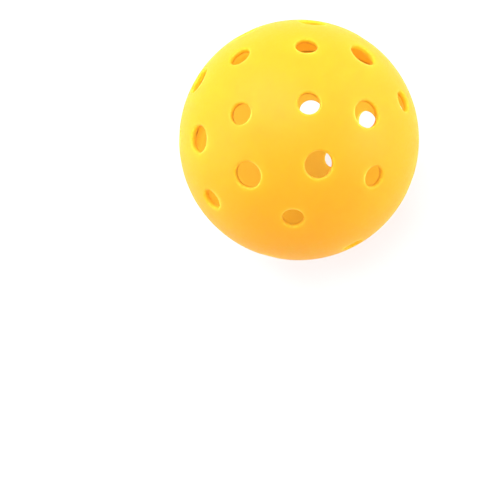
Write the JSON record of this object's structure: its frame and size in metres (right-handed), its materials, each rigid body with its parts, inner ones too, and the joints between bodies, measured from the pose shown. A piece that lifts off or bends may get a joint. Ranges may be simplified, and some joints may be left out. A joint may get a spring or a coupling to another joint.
{
  "type": "pickleball ball",
  "caption": "Hollow perforated hard plastic court ball, bright yellow, moulded as two half shells welded at the equator, with small and large air holes in rings round its poles",
  "frame": {"origin": "centre of the ball", "axes": "+Z runs through the pole of the upper half, square to the weld, which lies in the XY plane; +X passes under the first hole of the ring of four round the upper pole"},
  "size_m": [0.074, 0.074, 0.074],
  "materials": {
    "shell_plastic": "satin moulded polyethylene, slightly translucent",
    "weld_plastic": "remelted polyethylene, trimmed flush outside"
  },
  "bodies": {
    "root": {"upper_shell": "shell_plastic", "lower_shell": "shell_plastic", "outer_weld": "weld_plastic", "inner_weld": "weld_plastic"}
  },
  "joints": []
}
